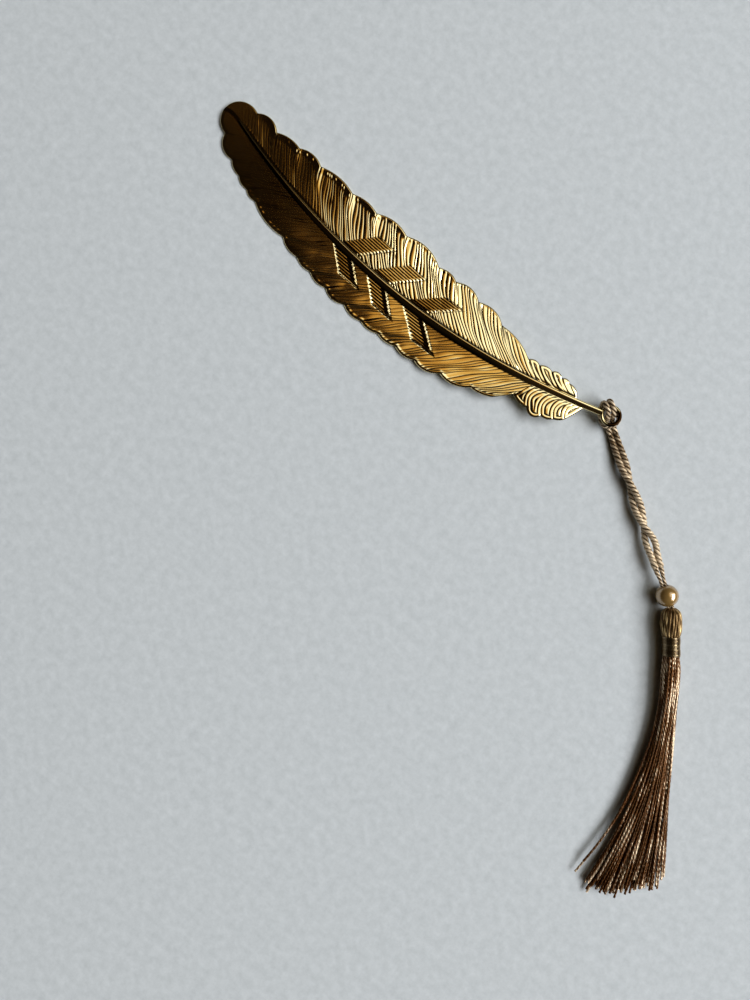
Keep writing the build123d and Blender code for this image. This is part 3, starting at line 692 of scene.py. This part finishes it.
def vaneEdge(rows, join, side):
    cusps = [lobePoint(row[0], row[1]) for row in rows]
    joinAt = join * blade["length"]
    cusps.append((joinAt, float(rachisLine(joinAt)) + side * blade["quillWidth"] / 2))
    tipEnds = [lobePoint(*blade["lowerLobes"][0][:2]), (0.0, 0.0), lobePoint(*blade["upperLobes"][0][:2])]
    tipArc = arcPoints(*tipEnds)
    nearest = int(np.argmin(np.hypot(tipArc[:, 0], tipArc[:, 1])))
    pieces = [tipArc[nearest:] if side > 0 else tipArc[:nearest + 1][::-1]]
    for begin, end, row in zip(cusps, cusps[1:], rows):
        pieces.append(arcPoints(begin, lobePoint(row[2], row[3]), end)[1:])
    return np.concatenate(pieces), np.array(cusps)


def barbLean(vane, u, w):
    # a barb leaves the rachis leaning to the tip, and straightens towards the edge
    k = np.clip((u - barb["leanBegin"]) / barb["leanRun"], 0, 1)
    near = vane["nearLean"][0] + vane["nearLean"][1] * k
    far = vane["farLean"][0] + vane["farLean"][1] * k
    return near * w + (far - near) * w ** 2 / barb["straighten"]


def barbWave(vane, b, w):
    wave = np.sin(barb["waveAcross"] * w + barb["waveAlong"] * b)
    return vane["wave"] * wave * smoothStep(0, barb["waveBegin"], w)


def barbPlace(vane, b, w):
    u = b - barbLean(vane, b, w)
    for _ in range(5):
        u = b - barbLean(vane, u, w)
    return u + barbWave(vane, b, w)


def barbThrough(vane, u, w):
    # the foot of the barb that passes through a point
    b = u + barbLean(vane, u, w)
    for _ in range(8):
        b = b + u - barbPlace(vane, b, w)
    return b


def bandRelief(rows, sink, sunkEnd, u, v):
    # chevron bands: each rises from a sunk edge to a toothed one that drops sharply
    weight, height, dark = np.zeros_like(u), np.zeros_like(u), np.zeros_like(u)
    for foot, top, heel in rows:
        e1 = np.array(top) - np.array(foot)
        e2 = np.array(heel) - np.array(foot)
        cross = e1[0] * e2[1] - e1[1] * e2[0]
        s = ((u - foot[0]) * e2[1] - (v - foot[1]) * e2[0]) / cross
        r = (e1[0] * (v - foot[1]) - e1[1] * (u - foot[0])) / cross
        thick = abs(cross) / math.hypot(*e1)
        tall = abs(cross) / math.hypot(*e2)
        first, last, end = r * thick, (1 - r) * thick, (1 - s) * tall
        crest = np.sin(math.pi * s * tall / bands["ribPitch"]) ** 2
        # the ribs end in round teeth
        here = smoothStep(-0.3, 0.0, first) * smoothStep(-0.36, 0.0, last - bands["tooth"] * (1 - crest))
        here = here * smoothStep(-0.2, 0.05, end) * (s > -0.3)
        even = np.clip(r, 0, 1)
        lipped = 0.25 * even + 0.75 * smoothStep(0.7, 1.0, r)
        share = (even + (lipped - even) * sunkEnd) * (1 - sunkEnd * (1 - smoothStep(0, 0.8, end)))
        rise = -sink + (sink + bands["height"]) * share
        weight = np.maximum(weight, here)
        height = height + here * (rise - bands["ribDepth"] * (1 - crest))
        near = (end > -0.25) * (s > -0.3)
        # painted shade: dark lines along the band's steps, and darker hollows between its ribs
        line = np.exp(-((last + 0.4) / 0.13) ** 2) + 0.5 * np.exp(-((first + 0.05) / 0.1) ** 2)
        line = line * near + np.exp(-((end + 0.15) / 0.1) ** 2) * (r > -0.05) * (r < 1.05)
        ribHollowShade = 0.95 * smoothStep(0.3, 0.75, 1 - crest) * (1 - 0.6 * smoothStep(0.8, 1.0, r))
        dark = np.maximum(dark, line + here * ribHollowShade)
    return weight, height, np.clip(dark, 0, 1)


def edgeGap(edge, u, v):
    tree = kdtree.KDTree(len(edge))
    for i, point in enumerate(edge):
        tree.insert((point[0], point[1], 0), i)
    tree.balance()
    flat = np.stack([u.ravel(), v.ravel()], axis=1).tolist()
    return np.array([tree.find((x, y, 0))[2] for x, y in flat]).reshape(u.shape)


def closeSheet(u, v, top, paintedShade, edgeLift=0.0):
    # top grid, plain back and the walls round them
    rows, columns = u.shape
    level = sheetLevel(u)
    n = rows * columns
    grid = np.arange(n).reshape(rows, columns)
    tops = bladePlace(u, v, level + blade["sheet"] + top)
    backU, backV = u[[0, -1]], v[[0, -1]]
    backLift = blade["lift"] + np.stack([0 * backU[0], edgeLift + 0 * backU[0]])
    backs = bladePlace(backU, backV, sheetLevel(backU) + backLift)
    back = n + np.arange(2 * columns).reshape(2, columns)
    faces = quads(grid[:-1, :-1], grid[:-1, 1:], grid[1:, 1:], grid[1:, :-1])
    faces += quads(back[0, :-1], back[1, :-1], back[1, 1:], back[0, 1:])
    faces += quads(grid[-1, :-1], grid[-1, 1:], back[1, 1:], back[1, :-1])
    faces += quads(grid[0, :-1], back[0, :-1], back[0, 1:], grid[0, 1:])
    faces.append(grid[:, 0].tolist() + [int(back[1, 0]), int(back[0, 0])])
    faces.append(grid[:, -1].tolist()[::-1] + [int(back[0, -1]), int(back[1, -1])])
    points = np.concatenate([tops.reshape(-1, 3), backs.reshape(-1, 3)])
    dark = np.concatenate([paintedShade.ravel(), np.full(2 * columns, 0.2)])
    return points, faces, {"paintedShade": dark}


def flipIf(part, flip):
    return (part[0], [face[::-1] for face in part[1]], part[2]) if flip else part


def rimShape(gap, wide):
    # the smooth rim along the scallops rolls down to the edge
    s = np.clip(1 - gap / wide, 0, 1)
    return -0.32 * (1 - np.sqrt(1 - 0.94 * s ** 2))


def barbStarts(vane, last):
    widths = vane["pitch"] * (1 + vane["uneven"] * np.clip(rng.randn(300), -1.5, 1.5))
    starts = np.cumsum(widths) - widths[0]
    return starts[:np.searchsorted(starts, last) + 2]


def vanePart(vane, edge, cusps, lastCusp, bandRows):
    side = vane["side"]
    cuspW = side * (cusps[:, 1] - rachisLine(cusps[:, 0]))
    cuspB = barbThrough(vane, cusps[:, 0], cuspW)
    last = cuspB[lastCusp]
    starts = barbStarts(vane, last)
    shares = np.array([0, 0.055, 0.12, 0.2, 0.38, 0.62, 0.8, 0.88, 0.945])  # columns across a barb
    marks = (starts[:-1, None] + np.diff(starts)[:, None] * shares[None, :]).ravel()
    marks = marks[(marks > 0.12) & (marks < last - 0.05)]
    marks = np.sort(np.concatenate([marks, [0.03, last], cuspB[:lastCusp]]))
    marks = marks[np.concatenate([[True], np.diff(marks) > 0.02])]
    # walk out along each barb, from the rachis or the down's seam to the blade's edge
    order = np.argsort(edge[:, 0], kind="stable")
    w = np.arange(0.02, 17, 0.02)
    b, ww = np.meshgrid(marks, w)
    u = barbPlace(vane, b, ww)
    v = rachisLine(u) + side * ww
    seamFoot = vane["seamFoot"] or last
    seamEnd, seamW = cusps[lastCusp, 0], cuspW[lastCusp]
    past = np.ones(u.shape, bool)
    if vane["seamFoot"]:
        past = u <= seamFoot + (seamEnd - seamFoot) * ww / seamW
    past[-1] = True
    begin = np.where(marks <= seamFoot, 0, w[np.argmax(past, axis=0)] - 0.01)
    limit = np.interp(u, edge[order, 0], edge[order, 1])
    out = ((side * (v - limit) > 0) | (u < 0)) & (ww > begin[None, :])
    out[-1] = True
    reach = np.maximum(w[np.argmax(out, axis=0)] - 0.01, begin + 0.03)
    rowAt, rowShare = vane["dense"]
    share = np.interp(np.linspace(0, 1, vane["rows"]), (0, rowAt, 1), (0, rowShare, 1))
    ww = begin[None, :] + share[:, None] * (reach - begin)[None, :]
    b = np.broadcast_to(marks[None, :], ww.shape)
    u = barbPlace(vane, b, ww)
    v = rachisLine(u) + side * ww
    gap = edgeGap(edge, u, v)
    rim = vane["rim"][0] + (vane["rim"][1] - vane["rim"][0]) * zone("slimRim", u)
    # barbs: rounded ridges, each a little deeper, wider or more tilted than the next
    phase = np.interp(b, starts, np.arange(len(starts)))
    n = np.floor(phase).astype(int)
    x = phase - n
    depths = vane["depth"] * (0.6 + 0.7 * rng.rand(400))
    shallow = 0.1 + 0.9 * zone("deepBarbs", u)
    tilts = 0.3 * vane["depth"] * rng.randn(400)
    worn = 0.8 + 0.2 * np.sin(0.8 * ww + 2.1 * n)
    trough = np.cos(math.pi * x) ** 2
    late = zone("lateBarbs", u)
    cut = trough ** (vane["cut"] * (1 + late))
    fade = smoothStep(0.5 * rim, 1.1 * rim, gap) * smoothStep(0.0, 0.5, ww) * zone("firstBarbs", u)
    lean = tilts[n] * (1 - 0.5 * late) * (x - 0.5)
    barbs = (-depths[n] * worn * cut + lean * (1 - cut)) * fade * shallow
    # where the sheet rises to the quill each barb lies nearly level, a step above the one before
    levelled = vane["level"] * sheetSlope(u) * np.diff(starts)[n] * (x - 0.5)
    barbs = barbs - levelled * fade * zone("levelBarbs", u)
    # lobes overlap like shingles along a line that starts at each cusp
    bounds = np.concatenate([[0], cuspB[:lastCusp + 1]])
    k = np.clip(np.searchsorted(bounds, b, side="right") - 1, 0, len(bounds) - 2)
    along, length = b - bounds[k], bounds[k + 1] - bounds[k]
    shingle = 1 - smoothStep(0.0, 1.1, along) + smoothStep(1.1, length, along)
    shingle = vane["shingle"] * shingle * smoothStep(7.5, 1.5, gap) * (0.05 + 0.95 * zone("shingles", b))
    step = np.exp(-(np.minimum(along, length - along) / vane["stepWide"]) ** 2)
    step = step * smoothStep(vane["stepLong"], 1.0, gap)
    # small beads where the barbs run into the rim
    dotted = rng.rand(400) < 0.45
    beads = np.exp(-((gap - 0.6 * rim) / 0.26) ** 2) * (1 - trough) ** 2 * dotted[n]
    beads = beads * zone("beads", u)
    # the rim turns up: a narrow lip near the quill, a broad slope near the tip
    lip = vane["lip"] * np.exp(-((gap - 0.4) / 0.26) ** 2) * zone("lip", u)
    lip = lip + vane["rimRise"] * smoothStep(1.1, 0.05, gap / rim) * zone("rimRise", u)
    # here and there the painted shade in a barb's hollow is wider and darker for 1 to 3 mm
    struck = rng.rand(400) < vane["strokes"]
    middle, span = 1 + 12 * rng.rand(400), 0.4 + 0.9 * rng.rand(400)
    stroke = struck[n] * np.exp(-((ww - middle[n]) / span[n]) ** 2) * smoothStep(0.25, 0.8, trough) * fade
    ribHalf = np.interp(u, blade["ribAt"], blade["ribHalf"])
    inside, band, bandShade = bandRelief(bandRows, vane["bandSink"], vane["sunkEnd"], u, v)
    # the sheet crowns between rachis and edge, and past the middle it crowns more or dishes
    crown = vane["camber"][0] * zone("crown", u)
    crown = crown + (vane["camber"][1] - vane["camber"][0]) * zone("dish", u)
    edgeLift = vane["edgeLift"] * zone("dish", u)
    camber = crown * (1 - (ww / np.maximum(reach, 0.5)[None, :]) ** 2) + edgeLift
    top = (barbs + shingle - 0.08 * step * zone("steps", u)) * (1 - inside) + band + camber
    top = top + rimShape(gap, vane["roll"]) + 0.09 * beads + lip
    top = top - vane["gutter"] * np.exp(-(ww / (ribHalf + 0.4)) ** 4) * zone("gutter", u)
    # painted shade in the grooves between the barbs, and along each lobe's overlap step
    narrow = 3.5 + 3.5 * zone("narrowLines", u)
    lined = np.interp(u, grooveShadeAt, (*vane["grooveShade"][:2], *vane["grooveShade"][1:]))
    lined = lined * trough ** narrow * worn * fade + 0.7 * stroke
    dark = (lined + 0.7 * step) * (1 - inside) + bandShade
    # knobs in a row beside the rachis, clearest near the tip, with painted shade between them
    knob = np.sin(math.pi * u / vane["knobPitch"]) ** 2
    row = np.exp(-((ww - ribHalf - 0.55) / 0.25) ** 2) * zone("knobs", u)
    top = top + vane["knobs"] * knob * row
    dark = dark + vane["knobShade"] * (1 - knob) * row
    # painted shade at the very edge of the rim, and painted highlight on the beads
    dark = np.clip(dark + 0.35 * smoothStep(0.3, 0.0, gap) - 0.5 * beads, 0, 1)
    # painted shade where the vane meets the rachis
    dark = np.clip(dark + 0.75 * smoothStep(ribHalf + 0.3, ribHalf + 0.05, ww), 0, 1)
    if vane["seamFoot"]:
        seamU = np.linspace(seamFoot, seamEnd, 60)
        seamV = np.linspace(float(rachisLine(seamFoot)), cusps[lastCusp, 1], 60)
    else:
        seamU = barbPlace(vane, last, np.linspace(0, seamW, 60))
        seamV = rachisLine(seamU) + side * np.linspace(0, seamW, 60)
    return flipIf(closeSheet(u, v, top, dark, edgeLift[-1]), side > 0), np.stack([seamU, seamV], axis=1)


def downLine(side, cusp):
    # the line that parts two tufts of down, from the edge in to the rachis
    tall = side * (cusp[1] - float(rachisLine(cusp[0])))
    w = np.linspace(tall, 0, 60)
    if side > 0:
        u = cusp[0] + downy["upperLean"] * (tall - w) * (0.55 + 0.45 * (1 - w / tall))
    else:
        u = cusp[0] - downy["lowerBulge"] * tall * np.sin(math.pi * (1 - w / tall)) + 0.1 * (tall - w)
    return np.stack([u, rachisLine(u) + side * w], axis=1)


def tuftPart(vane, edge, cusps, firstCusp, seam):
    # down at the quill: curled ridges, one inside another, in each little lobe
    side = vane["side"]
    begin = int(np.argmin(np.hypot(edge[:, 0] - cusps[firstCusp, 0], edge[:, 1] - cusps[firstCusp, 1])))
    rim, _ = evenLine(np.column_stack([edge[begin:], np.zeros(len(edge) - begin)]), downy["gap"])
    s = np.linspace(0, 1, len(rim))[None, :]
    footU = seam[0, 0] + (rim[-1, 0] + 0.4 - seam[0, 0]) * s[0]
    footV = rachisLine(footU)
    share = np.linspace(0, 1, downy["rows"])[:, None]
    u = footU[None, :] + (rim[:, 0] - footU)[None, :] * share
    v = footV[None, :] + (rim[:, 1] - footV)[None, :] * share
    at = np.linspace(0, 1, len(seam))
    hold = (1 - s) ** 6
    u = u + (np.interp(share[:, 0], at, seam[:, 0]) - u[:, 0])[:, None] * hold
    v = v + (np.interp(share[:, 0], at, seam[:, 1]) - v[:, 0])[:, None] * hold
    w = side * (v - rachisLine(u))
    gap = edgeGap(edge, u, v)
    parting = [edge[begin:], seam] + [downLine(side, cusp) for cusp in cusps[firstCusp + 1:-1]]
    inset = edgeGap(np.concatenate(parting), u, v)
    # each little lobe lies nearly level, as the barbs do
    lines = []
    for line in parting[1:]:
        lineW = side * (line[:, 1] - rachisLine(line[:, 0]))
        order = np.argsort(lineW)
        lines.append(np.interp(w, lineW[order], line[order, 0]))
    lines = np.sort(np.array(lines + [np.full(w.shape, rim[-1, 0])]), axis=0)
    k = np.clip((lines[:-1] <= u[None]).sum(axis=0) - 1, 0, len(lines) - 2)[None]
    middle = (np.take_along_axis(lines, k, 0)[0] + np.take_along_axis(lines, k + 1, 0)[0]) / 2
    level = -vane["level"] * sheetSlope(u) * (u - middle)
    level = level * smoothStep(0, 0.25, inset) * smoothStep(0, 0.4, gap)
    trough = np.sin(math.pi * (inset - downy["first"]) / downy["pitch"]) ** 2
    root = smoothStep(0.7, 1.3, w)
    swell, swellWide = downy["swell"]
    sink, sinkWide = downy["sink"]
    top = -downy["depth"] * trough ** 2 * root + rimShape(gap, downy["roll"])
    top = top + swell * smoothStep(0, swellWide, gap) + level - sink * np.exp(-(w / sinkWide) ** 4)
    # painted shade in the slots between the curled ridges and at the edge
    dark = np.clip(1.1 * trough ** 5 * root + 0.4 * smoothStep(0.2, 0.0, gap), 0, 1)
    return flipIf(closeSheet(u, v, top, dark), side > 0)


edges = {"upper": vaneEdge(blade["upperLobes"], blade["joins"][0], 1),
         "lower": vaneEdge(blade["lowerLobes"], blade["joins"][1], -1)}
for key, vane, tuftAt in zip(("upper", "lower"), (upperVane, lowerVane), blade["tuftLobes"]):
    edge, cusps = edges[key]
    part, seam = vanePart(vane, edge, cusps, tuftAt, bands[key])
    piece = makePiece(key + "Vane", part, brass, 60)
    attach(piece, "feather")
    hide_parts("feather_blade")
    tuft = makePiece(key + "Tuft", tuftPart(vane, edge, cusps, tuftAt, seam), brass, 60)
    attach(tuft, "feather")
    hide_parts("feather_blade")
    print("vane:", piece.name, len(piece.data.polygons), "faces")

rachis = {"tip": (0.7, 0.18), "belly": (2.2, 0.66), "quill": (1.5, 0.45), "bellyShare": 0.6, "begin": 4.6,
          "end": 115.3, "crest": 0.42, "eyeletLevel": 3.3, "eyeletRadius": 2.15, "wire": 0.45,
          "ringSides": (72, 20), "step": 0.16, "points": 17, "arch": (1.9, 0.75), "seat": 0.1,
          "highlightSpan": (84, 108), "tipShadeSpan": (34, 12)}


def rachisSize(k, share):
    low, mid, high = rachis["tip"][k], rachis["belly"][k], rachis["quill"][k]
    rising = low + (mid - low) * np.sin(math.pi / 2 * np.clip(share / rachis["bellyShare"], 0, 1))
    easing = mid + (high - mid) * (share - rachis["bellyShare"]) / (1 - rachis["bellyShare"])
    return np.where(share <= rachis["bellyShare"], rising, easing)


u = np.arange(rachis["begin"], rachis["end"], rachis["step"])
share = (u - rachis["begin"]) / (rachis["end"] - rachis["begin"])
half, tall = rachisSize(0, share) / 2, rachisSize(1, share)
x = np.sin(np.linspace(-1, 1, rachis["points"]) * math.pi / 2)
shift = rachis["crest"]
bent = np.where(x < shift, (x - shift) / (1 + shift), (x - shift) / (1 - shift))
arch = (1 - np.abs(bent) ** rachis["arch"][0]) ** rachis["arch"][1]
slope = np.gradient(rachisLine(u), u)
sideU, sideV = -slope / np.hypot(1, slope), 1 / np.hypot(1, slope)
uu = u[:, None] + (half * sideU)[:, None] * x[None, :]
vv = rachisLine(u)[:, None] + (half * sideV)[:, None] * x[None, :]
level = sheetLevel(u)[:, None]
seat = rachis["seat"]  # its foot is this far below the sheet's face
tops = bladePlace(uu, vv, level + blade["sheet"] - seat + (tall + seat)[:, None] * arch[None, :])
base = bladePlace(uu[:, [0, -1]], vv[:, [0, -1]], level + blade["lift"] + 0 * uu[:, [0, -1]])
rings = np.concatenate([base[:, :1], tops, base[:, 1:]], axis=1)
count, n = rings.shape[:2]
grid = np.arange(count * n).reshape(count, n)
nextGrid = np.roll(grid, -1, axis=1)
faces = quads(grid[:-1], grid[1:], nextGrid[1:], nextGrid[:-1])
faces += [grid[0].tolist(), grid[-1][::-1].tolist()]
# painted shade down both flanks and towards the tip, and a painted highlight towards the quill
flankShade = np.where(bent < 0, 0.32 + 0.62 * np.abs(bent) ** 0.8, 0.32 + 0.55 * np.abs(bent) ** 2)
quillHighlight = 1 - 0.85 * smoothStep(*rachis["highlightSpan"], u)
dark = np.concatenate([[0.9], flankShade, [0.9]])[None, :] * quillHighlight[:, None]
dark = np.clip(dark + 0.35 * smoothStep(*rachis["tipShadeSpan"], u)[:, None], 0, 1)
ribPart = (rings.reshape(-1, 3), faces, {"paintedShade": dark.ravel()})
ringA, ringC = rachis["ringSides"]
a = np.linspace(0, 2 * math.pi, ringA, endpoint=False)
c = np.linspace(0, 2 * math.pi, ringC, endpoint=False)
ringR = rachis["eyeletRadius"] + rachis["wire"] * np.cos(c)[None, :]
ringU = blade["eyelet"][0] + ringR * np.cos(a)[:, None]
ringV = blade["eyelet"][1] + ringR * np.sin(a)[:, None]
ringPoints = bladePlace(ringU, ringV, rachis["eyeletLevel"] + rachis["wire"] * np.sin(c)[None, :])
grid = np.arange(ringA * ringC).reshape(ringA, ringC)
nextA, nextC = np.roll(grid, -1, axis=0), np.roll(grid, -1, axis=1)
faces = quads(grid, nextA, np.roll(nextA, -1, axis=1), nextC)
# the ring is painted dark, nearly black on the side away from the blade: painted shade
ringShade = np.repeat(0.55 + 0.4 * smoothStep(-0.2, 0.6, np.cos(a + 0.13)), ringC)
ringPart = (ringPoints.reshape(-1, 3), faces, {"paintedShade": ringShade})
rib = makePiece("rachis", joinParts([ribPart, ringPart]), brass, 60)
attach(rib, "feather")
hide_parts("feather_blade")
print("rachis and eyelet done")


# paper and light

paper = drawingPaper()
floorMesh = bpy.data.meshes.new("paper")
floorMesh.from_pydata([(-2, -2, 0), (2, -2, 0), (2, 2, 0), (-2, 2, 0)], [], [(0, 1, 2, 3)])
floorMesh.materials.append(paper)
floor = addObject("paper", floorMesh)
floor.location.z = -0.04 * mm  # just under the part

light = {"right": (0.7935, 0.6085, 0.0), "top": (-0.6085, 0.7935, 0.0), "elevation": 44.0, "distance": 2.5,
         "aside": -0.3, "size": (2.6, 1.3), "power": 89.0, "colour": (1.0, 0.985, 0.96),
         "target": (0.04, -0.02, 0)}
# linear light levels of the room, not colours of things; the ceiling's stops run from left to right
room = {
    "span": (-0.175, 0.425), "past": (0.5, 0.64), "above": (0.42, 0.7), "below": (0.05, -0.25),
    "horizon": (0.15, 0.4), "wall": (0.045, 0.031, 0.016, 1), "dim": (0.02, 0.014, 0.008, 1),
    "ceiling": [(0.1, (0.006, 0.003, 0.0008, 1)), (0.26, (0.06, 0.026, 0.006, 1)),
                (0.34, (0.62, 0.31, 0.06, 1)), (0.45, (0.95, 0.66, 0.23, 1)),
                (0.56, (1.36, 1.32, 1.16, 1)), (0.85, (1.75, 1.75, 1.62, 1))],
}
rightWay = Vector(light["right"])
rise = math.radians(light["elevation"])
target = Vector(light["target"])
lamp = bpy.data.lights.new("window", "AREA")
lamp.shape = "RECTANGLE"
lamp.size, lamp.size_y = light["size"]
lamp.energy = light["power"]
lamp.color = light["colour"]
lampObject = addObject("window", lamp)
lampWay = rightWay * math.cos(rise) + Vector((0, 0, math.sin(rise)))
lampObject.location = target + lampWay * light["distance"]
lampObject.location += Vector(light["top"]) * light["aside"]
lampObject.rotation_euler = (target - lampObject.location).to_track_quat("-Z", "Y").to_euler()

# the room: a ceiling that brightens towards a window at the right, dim beyond it, dark brown walls low down
world = bpy.data.worlds.new("room")
scene.world = world
world.use_nodes = True
tree = world.node_tree
tree.nodes.clear()
place = addNode(tree, "TexCoord")
way = place.outputs["Generated"]
toRight = addNode(tree, "VectorMath", {0: way, 1: light["right"]}, operation="DOT_PRODUCT").outputs["Value"]
toTop = addNode(tree, "VectorMath", {0: way, 1: light["top"]}, operation="DOT_PRODUCT").outputs["Value"]
toUp = addNode(tree, "SeparateXYZ", {"Vector": way}).outputs["Z"]
low, high = room["span"]
spanned = addNode(tree, "MapRange", {"Value": toRight, "From Min": low, "From Max": high})
ceiling = addRamp(tree, spanned.outputs["Result"], room["ceiling"])
share = {}
for key, value in (("above", toTop), ("below", toTop), ("past", toRight), ("horizon", toUp)):
    low, high = room[key]
    share[key] = addNode(tree, "MapRange", {"Value": value, "From Min": low, "From Max": high},
                         interpolation_type="SMOOTHSTEP").outputs["Result"]
sides = addNode(tree, "Math", {0: share["above"], 1: share["below"]}, operation="ADD")
around = addNode(tree, "Math", {0: sides.outputs[0], 1: share["past"]}, operation="MAXIMUM")
dimmed = addNode(tree, "Mix", {"Factor": around.outputs[0], "A": ceiling,
                               "B": room["dim"]}, data_type="RGBA")
walled = addNode(tree, "Mix", {"Factor": share["horizon"], "A": room["wall"],
                               "B": dimmed.outputs["Result"]}, data_type="RGBA")
glow = addNode(tree, "Background", {"Color": walled.outputs["Result"], "Strength": 1.0})
addNode(tree, "OutputWorld", {"Surface": glow.outputs["Background"]})
print("paper and light done")
